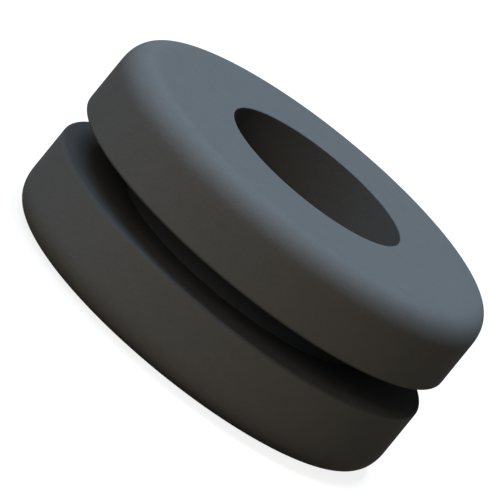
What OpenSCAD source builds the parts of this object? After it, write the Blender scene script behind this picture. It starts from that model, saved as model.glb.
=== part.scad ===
// Rubber cable grommet, moulded in one piece: two thick round flanges, the groove between
// them that grips the edge of a sheet-metal panel, and a plain bore for the cable.
// The bore runs along +Z. The origin is at the centre of the lower face, on which the
// grommet lies.

/* [Overall size] */
// Outside diameter of both flanges
outer_d = 14; // [11.5:0.1:20]
// Height from the lower face to the upper face
height = 6.5; // [5:0.1:10]

/* [Cable bore] */
// Diameter of the hole for the cable
bore_d = 6.5; // [3:0.1:7]

/* [Panel groove] */
// Diameter at the root of the groove, which fills the panel's hole
groove_d = 9; // [7.5:0.1:10.5]
// Width of the groove, which takes the panel's thickness
groove_w = 1.1; // [0.8:0.1:2]

/* [Edges] */
// Radius of the full round on the outer edge of each flange
edge_r = 0.95; // [0.3:0.05:1.1]
// Radius of the slight round on each lip of the groove
lip_r = 0.15; // [0.05:0.05:0.3]

/* [Hidden] */
// Flat steps that stand for one full turn in a quick look
$fn = 180;
outer_r = outer_d / 2;
bore_r = bore_d / 2;
groove_r = groove_d / 2;
flange_t = (height - groove_w) / 2;
rubber = [0.25, 0.27, 0.29];

// Half section of a plain ring, from one radius to another and from one height to another
module ring_section(inner_r, rim_r, low, high) {
    translate([inner_r, low])
        square([rim_r - inner_r, high - low]);
}

// What a round of radius r takes off a square outward corner that points right and up.
// Its centre of curvature is at the origin.
module corner_waste(r) {
    difference() {
        square(r);
        circle(r);
    }
}

// Half section of the lower flange. Its outer edge is fully rounded, and the lip beside
// the groove only slightly.
module flange_section() {
    difference() {
        ring_section(bore_r, outer_r, 0, flange_t);
        translate([outer_r - edge_r, edge_r])
            mirror([0, 1])
                corner_waste(edge_r);
        translate([outer_r - lip_r, flange_t - lip_r])
            corner_waste(lip_r);
    }
}

// Half section of the whole grommet: the two flanges are alike, back to back on the web
// that is left between the bore and the root of the groove
module grommet_section() {
    flange_section();
    ring_section(bore_r, groove_r, flange_t, height - flange_t);
    translate([0, height])
        mirror([0, 1])
            flange_section();
}

// The moulding, with every edge a true round about the bore's axis
module grommet() {
    color(rubber)
        rotate_extrude()
            grommet_section();
}

grommet();
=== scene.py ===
"""Rubber cable grommet lying on one flange on a white studio floor."""

import math

import bpy
from mathutils import Matrix, Vector

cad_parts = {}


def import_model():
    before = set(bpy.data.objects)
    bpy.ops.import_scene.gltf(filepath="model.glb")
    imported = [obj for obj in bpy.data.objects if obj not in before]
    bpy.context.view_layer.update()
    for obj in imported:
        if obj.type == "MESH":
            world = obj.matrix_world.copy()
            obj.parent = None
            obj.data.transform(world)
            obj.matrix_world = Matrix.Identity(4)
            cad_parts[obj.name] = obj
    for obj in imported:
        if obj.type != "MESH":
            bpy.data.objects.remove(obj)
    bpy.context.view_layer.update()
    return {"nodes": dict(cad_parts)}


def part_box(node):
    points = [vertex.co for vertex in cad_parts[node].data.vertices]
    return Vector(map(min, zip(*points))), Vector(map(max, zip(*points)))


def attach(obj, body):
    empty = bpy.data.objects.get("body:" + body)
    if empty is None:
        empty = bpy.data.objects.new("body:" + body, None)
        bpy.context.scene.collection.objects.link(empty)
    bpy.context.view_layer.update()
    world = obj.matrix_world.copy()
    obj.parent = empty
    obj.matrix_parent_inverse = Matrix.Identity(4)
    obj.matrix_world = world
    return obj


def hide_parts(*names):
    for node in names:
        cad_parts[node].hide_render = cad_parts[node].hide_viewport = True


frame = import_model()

MM = 0.001

# Camera: a parallel view, rolled so that the bore leans to the picture's upper right
VIEW_ELEVATION = 13.93  # above the flanges' faces, degrees
BORE_LEAN = 50.78  # the bore's axis in the picture, above the horizontal, degrees
VIEW_WIDTH = 15.48 * MM
VIEW_DISTANCE = 300 * MM
CLIP_START = 10 * MM
CLIP_END = 10.0
FACE_CENTRE = Vector((2.087, 2.266)) * MM  # the upper face's, from the picture's centre

# Reading the CAD ring
SAME = 0.001  # closer than this part of the outer radius counts as the same size
WAIST = (0.25, 0.75)  # parts of the height between which the groove lies

# Smoothness of the turned moulding
TURN_STEPS = 288
ROUND_STEPS = 20
EDGE_BREAK = 0.03 * MM  # the mould's own small radius on what looks like a sharp edge
ARC = 2.0  # power of a plain round
EASE = 2.5  # power of the flanges' big rounds, which ease into the flats
EASE_REACH = 1.16  # how much longer such an eased round is, for the same corner
SUPPORT = 0.03 * MM  # from a round to a row of corners that keeps the next flat flat

# Rubber
RUBBER_DARK = (0.098, 0.106, 0.112, 1)
RUBBER_LIGHT = (0.108, 0.116, 0.122, 1)
RUBBER_IOR = 1.5
GLOSS_LEVEL = 0.015
ROUGH_DARK, ROUGH_LIGHT = 0.84, 0.94
MOTTLE_SIZE, MOTTLE_DETAIL, MOTTLE_ROUGHNESS = 0.5 * MM, 5.0, 0.6
GRAIN_SIZE, GRAIN_DETAIL, GRAIN_ROUGHNESS = 0.10 * MM, 3.0, 0.55
PATTERN_LOW, PATTERN_HIGH = 0.7, 1.3  # where mottle and grain, added up, mostly lie
GRAIN_HEIGHT = 0.02 * MM
GRAIN_STRENGTH = 0.3

# Painted shade in the rubber's colour, beside the rims' outside at 1: darker faces,
# leaving a painted highlight on the big rounds, and a darker groove and bore
FACE_PAINTED_SHADE = 0.92
GROOVE_PAINTED_SHADE = 0.72
BORE_PAINTED_SHADE = 0.80
RIM_REACH = 0.45  # part of the big round over which the faces' painted shade gives way to the rims' own colour
LIP_SHADED_PART = 0.35  # part of each lip's round that takes the groove's full painted shade
BORE_FADE = (1.5, 0.5)  # edge breaks outside the bore, from the faces' painted shade to the bore's darker one

# Floor, surround and lamps
WHITE = (1, 1, 1, 1)
FLOOR_RADIUS = 1.5
FLOOR_CORNERS = 64
FLOOR_BOUNCE = (0.235, 0.16, 0.095, 1)  # towards the object
FLOOR_SEEN = (0.2, 0.2, 0.2, 1)  # under the glow, so that it still shows the shadow
FLOOR_LIFT = 0.86  # glow that only the camera sees, so that the floor shows white
WORLD_COLOUR = (1, 0.94, 0.84, 1)
WORLD_LEVEL = 0.05
LAMP_DISTANCE = 0.45
LAMP_TARGET = Vector((0, 0, 3 * MM))

# A Mix node's colour sockets, which share their names with its other ones
MIX_A, MIX_B, MIX_RESULT = 6, 7, 2


def ring_sizes(node):
    """The CAD ring's radii and heights, read off its mesh."""
    low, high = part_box(node)
    points = [
        (math.hypot(v.co.x, v.co.y), v.co.z) for v in frame["nodes"][node].data.vertices
    ]
    height = high.z - low.z
    rim = max(r for r, _ in points)
    bore = min(r for r, _ in points)
    small = SAME * rim
    waist = [
        (r, z)
        for r, z in points
        if bore + small < r < rim - small
        and WAIST[0] * height < z - low.z < WAIST[1] * height
    ]
    root = min(r for r, _ in waist)
    groove = sorted(z for r, z in waist if r < root + small)
    lip = max(r for r, z in waist if abs(z - groove[0]) < small)
    land = max(r for r, z in points if abs(z - low.z) < small)
    return {
        "bore": bore,
        "root": root,
        "rim": rim,
        "edge": rim - land,
        "lip": rim - lip,
        "low": low.z,
        "groove_low": groove[0],
        "groove_high": groove[-1],
        "high": high.z,
    }


def rounded(corners):
    """A closed outline through (point, radius, power) corners, its flats held flat."""
    outline = []
    for i, (corner, radius, power) in enumerate(corners):
        before = (corners[i - 1][0] - corner).normalized()
        after = (corners[(i + 1) % len(corners)][0] - corner).normalized()
        centre = corner + (before + after) * radius
        outline.append(corner + before * (radius + SUPPORT))
        for step in range(ROUND_STEPS + 1):
            turn = math.radians(90) * step / ROUND_STEPS
            along = abs(math.cos(turn)) ** (2 / power)
            across = math.sin(turn) ** (2 / power)
            outline.append(centre - (after * along + before * across) * radius)
        outline.append(corner + after * (radius + SUPPORT))
    return outline


def turned(name, outline):
    """The solid swept once round Z by an outline of (radius, height) points."""
    count = len(outline)
    vertices, faces = [], []
    for i in range(TURN_STEPS):
        angle = 2 * math.pi * i / TURN_STEPS
        vertices += [
            (p.x * math.cos(angle), p.x * math.sin(angle), p.y) for p in outline
        ]
    for i in range(TURN_STEPS):
        here, there = i * count, (i + 1) % TURN_STEPS * count
        for j in range(count):
            k = (j + 1) % count
            faces.append((here + j, there + j, there + k, here + k))
    mesh = bpy.data.meshes.new(name)
    mesh.from_pydata(vertices, [], faces)
    mesh.shade_smooth()
    mesh.validate()
    made = bpy.data.objects.new(name, mesh)
    bpy.context.scene.collection.objects.link(made)
    return made


def grommet():
    """The moulding, from the CAD ring's own sizes."""
    s = ring_sizes("grommet")
    edge = s["edge"] * EASE_REACH
    corners = [
        ((s["bore"], s["low"]), EDGE_BREAK, ARC),
        ((s["rim"], s["low"]), edge, EASE),
        ((s["rim"], s["groove_low"]), s["lip"], ARC),
        ((s["root"], s["groove_low"]), EDGE_BREAK, ARC),
        ((s["root"], s["groove_high"]), EDGE_BREAK, ARC),
        ((s["rim"], s["groove_high"]), s["lip"], ARC),
        ((s["rim"], s["high"]), edge, EASE),
        ((s["bore"], s["high"]), EDGE_BREAK, ARC),
    ]
    made = turned(
        "grommet_moulding",
        rounded([(Vector(p), radius, power) for p, radius, power in corners]),
    )
    made.data.materials.append(rubber(s))
    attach(made, "root")
    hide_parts("grommet")


class Nodes:
    """A short way to make and join a node tree's nodes."""

    def __init__(self, tree):
        self.tree = tree
        tree.nodes.clear()

    def add(self, kind, inputs=None, **settings):
        node = self.tree.nodes.new(kind)
        for key, value in settings.items():
            setattr(node, key, value)
        for key, value in (inputs or {}).items():
            if isinstance(value, bpy.types.NodeSocket):
                self.tree.links.new(value, node.inputs[key])
            else:
                node.inputs[key].default_value = value
        return node


def reckon(n, operation, *values):
    """The result of one Math node."""
    inputs = dict(enumerate(values))
    return n.add("ShaderNodeMath", inputs, operation=operation).outputs[0]


def smooth(n, value, start, end):
    """0 where value is start and 1 where it is end, eased between and held outside."""
    return n.add(
        "ShaderNodeMapRange",
        {"Value": value, "From Min": start, "From Max": end},
        interpolation_type="SMOOTHSTEP",
    ).outputs["Result"]


def radius_of(n, split):
    """The distance from the bore's axis of a place that is split into X, Y and Z."""
    across = n.add("ShaderNodeCombineXYZ", {"X": split["X"], "Y": split["Y"]})
    length = n.add("ShaderNodeVectorMath", {0: across.outputs[0]}, operation="LENGTH")
    return length.outputs["Value"]


def painted_shade(n, place, sizes):
    """The painted shade at a place: 1 on the rims, darker on the faces and darker still
    in the groove and the bore.
    """
    split = n.add("ShaderNodeSeparateXYZ", {"Vector": place}).outputs
    radius = radius_of(n, split)
    middle = (sizes["groove_low"] + sizes["groove_high"]) / 2
    half_groove = (sizes["groove_high"] - sizes["groove_low"]) / 2
    half_height = (sizes["high"] - sizes["low"]) / 2
    lip, edge, inner = sizes["lip"], sizes["edge"], sizes["bore"]
    flat_end = sizes["rim"] - edge
    off = reckon(n, "ABSOLUTE", reckon(n, "SUBTRACT", split["Z"], middle))
    # Painted shade in the groove, reaching over part of each lip's round
    groove = reckon(
        n,
        "MULTIPLY",
        smooth(n, off, half_groove + lip, half_groove + LIP_SHADED_PART * lip),
        smooth(n, radius, inner, sizes["root"]),
    )
    # Painted shade on the flat faces, which leaves the big rounds a painted highlight
    face = reckon(
        n,
        "MULTIPLY",
        smooth(n, off, half_groove, half_height),
        smooth(n, radius, flat_end + RIM_REACH * edge, flat_end),
    )
    # Painted shade inside the bore
    bore = smooth(n, radius, *(inner + part * EDGE_BREAK for part in BORE_FADE))
    # The darkest of the three painted shades wins at each place
    tone = 1.0
    for part, level in ((groove, GROOVE_PAINTED_SHADE), (face, FACE_PAINTED_SHADE), (bore, BORE_PAINTED_SHADE)):
        own = n.add("ShaderNodeMapRange", {"Value": part, "To Min": 1.0, "To Max": level})
        tone = reckon(n, "MINIMUM", tone, own.outputs["Result"])
    return tone


def noise(n, place, size, detail, roughness):
    return n.add(
        "ShaderNodeTexNoise",
        {"Vector": place, "Scale": 1 / size, "Detail": detail, "Roughness": roughness},
    ).outputs["Fac"]


def spread(n, pattern, low, high):
    """The pattern's usual range stretched to run from low to high."""
    return n.add(
        "ShaderNodeMapRange",
        {
            "Value": pattern,
            "From Min": PATTERN_LOW,
            "From Max": PATTERN_HIGH,
            "To Min": low,
            "To Max": high,
        },
    ).outputs["Result"]


def rubber(sizes):
    """Matt dark rubber: a faint mottle, a fine moulded grain, and painted shade on the
    faces, groove and bore.
    """
    material = bpy.data.materials.new("rubber")
    material.use_nodes = True
    n = Nodes(material.node_tree)
    place = n.add("ShaderNodeTexCoord").outputs["Object"]
    mottle = noise(n, place, MOTTLE_SIZE, MOTTLE_DETAIL, MOTTLE_ROUGHNESS)
    grain = noise(n, place, GRAIN_SIZE, GRAIN_DETAIL, GRAIN_ROUGHNESS)
    pattern = reckon(n, "ADD", mottle, grain)
    colour = n.add(
        "ShaderNodeMix",
        {"Factor": spread(n, pattern, 0.0, 1.0), MIX_A: RUBBER_DARK, MIX_B: RUBBER_LIGHT},
        data_type="RGBA",
    ).outputs[MIX_RESULT]
    # The colour darkened by the painted shade
    shaded = n.add(
        "ShaderNodeVectorMath",
        {0: colour, "Scale": painted_shade(n, place, sizes)},
        operation="SCALE",
    ).outputs[0]
    bump = n.add(
        "ShaderNodeBump",
        {"Height": pattern, "Strength": GRAIN_STRENGTH, "Distance": GRAIN_HEIGHT},
    ).outputs["Normal"]
    shader = n.add(
        "ShaderNodeBsdfPrincipled",
        {
            "Base Color": shaded,
            "Roughness": spread(n, pattern, ROUGH_DARK, ROUGH_LIGHT),
            "Normal": bump,
            "IOR": RUBBER_IOR,
            "Specular IOR Level": GLOSS_LEVEL,
        },
    )
    n.add("ShaderNodeOutputMaterial", {"Surface": shader.outputs[0]})
    return material


def seen(n):
    """1 for what is seen, straight or by gloss or glass, and 0 for light on things."""
    path = n.add("ShaderNodeLightPath").outputs
    plain = reckon(n, "MAXIMUM", path["Is Camera Ray"], path["Is Glossy Ray"])
    return reckon(n, "MAXIMUM", plain, path["Is Transmission Ray"])


def floor():
    """A pale floor that shows white and keeps the shadow."""
    mesh = bpy.data.meshes.new("floor")
    turns = (2 * math.pi * i / FLOOR_CORNERS for i in range(FLOOR_CORNERS))
    around = [(FLOOR_RADIUS * math.cos(a), FLOOR_RADIUS * math.sin(a), 0) for a in turns]
    mesh.from_pydata(around, [], [range(FLOOR_CORNERS)])
    material = bpy.data.materials.new("floor")
    material.use_nodes = True
    n = Nodes(material.node_tree)
    bounce = n.add("ShaderNodeBsdfDiffuse", {"Color": FLOOR_BOUNCE})
    own = n.add("ShaderNodeBsdfDiffuse", {"Color": FLOOR_SEEN})
    glow = n.add("ShaderNodeEmission", {"Strength": FLOOR_LIFT})
    lifted = n.add("ShaderNodeAddShader", {0: own.outputs[0], 1: glow.outputs[0]})
    mix = n.add(
        "ShaderNodeMixShader",
        {"Fac": seen(n), 1: bounce.outputs[0], 2: lifted.outputs[0]},
    )
    n.add("ShaderNodeOutputMaterial", {"Surface": mix.outputs[0]})
    mesh.materials.append(material)
    made = bpy.data.objects.new("floor", mesh)
    bpy.context.scene.collection.objects.link(made)


def world():
    """A white surround to look at, and a low even light from all round."""
    made = bpy.data.worlds.new("studio")
    made.use_nodes = True
    n = Nodes(made.node_tree)
    fill = n.add(
        "ShaderNodeBackground", {"Color": WORLD_COLOUR, "Strength": WORLD_LEVEL}
    )
    white = n.add("ShaderNodeBackground", {"Color": WHITE, "Strength": 1.0})
    mix = n.add(
        "ShaderNodeMixShader",
        {"Fac": seen(n), 1: fill.outputs[0], 2: white.outputs[0]},
    )
    n.add("ShaderNodeOutputWorld", {"Surface": mix.outputs[0]})
    bpy.context.scene.world = made


def aim(obj, place, target, roll=0.0):
    """Puts obj at place, looking along its own -Z at target with its top up."""
    turn = (target - place).to_track_quat("-Z", "Y").to_matrix()
    turn = turn @ Matrix.Rotation(roll, 3, "Z")
    obj.matrix_world = Matrix.Translation(place) @ turn.to_4x4()


def direction(azimuth, elevation):
    """Unit vector towards an azimuth: 0 is the camera's side, and 90 is to its right."""
    a, e = math.radians(azimuth), math.radians(elevation)
    return Vector(
        (math.sin(a) * math.cos(e), -math.cos(a) * math.cos(e), math.sin(e))
    )


def lamp(name, azimuth, elevation, size, power, colour):
    """A square soft box that faces the object."""
    light = bpy.data.lights.new(name, "AREA")
    light.shape = "SQUARE"
    light.size = size
    light.energy = power
    light.color = colour
    made = bpy.data.objects.new(name, light)
    bpy.context.scene.collection.objects.link(made)
    aim(made, direction(azimuth, elevation) * LAMP_DISTANCE, LAMP_TARGET)


def lamps():
    """Cool light from overhead and the left, and warm light from the front.

    The weak lamp low in front reaches into the groove.
    """
    lamp("top_box", 180, 86, 0.04, 2.02, (0.73, 0.86, 1.0))
    lamp("left_box", -90, 60, 0.25, 1.26, (0.69, 0.84, 1.0))
    lamp("front_box", -20, 30, 0.25, 0.57, (1.0, 0.81, 0.62))
    lamp("low_box", -10, 12, 0.20, 0.10, (0.70, 0.85, 1.0))


def camera():
    """The parallel camera, with the upper face's centre at FACE_CENTRE in the picture."""
    data = bpy.data.cameras.new("camera")
    data.type = "ORTHO"
    data.ortho_scale = VIEW_WIDTH
    data.clip_start, data.clip_end = CLIP_START, CLIP_END
    made = bpy.data.objects.new("camera", data)
    bpy.context.scene.collection.objects.link(made)
    _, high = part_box("grommet")
    face = Vector((0, 0, high.z))
    back = direction(0, VIEW_ELEVATION)
    aim(made, face + back * VIEW_DISTANCE, face, math.radians(90 - BORE_LEAN))
    turn = made.matrix_world.to_3x3()
    made.matrix_world.translation -= turn @ Vector((FACE_CENTRE.x, FACE_CENTRE.y, 0))
    bpy.context.scene.camera = made


camera()
world()
lamps()
floor()
grommet()
bpy.context.scene.view_settings.view_transform = "Standard"
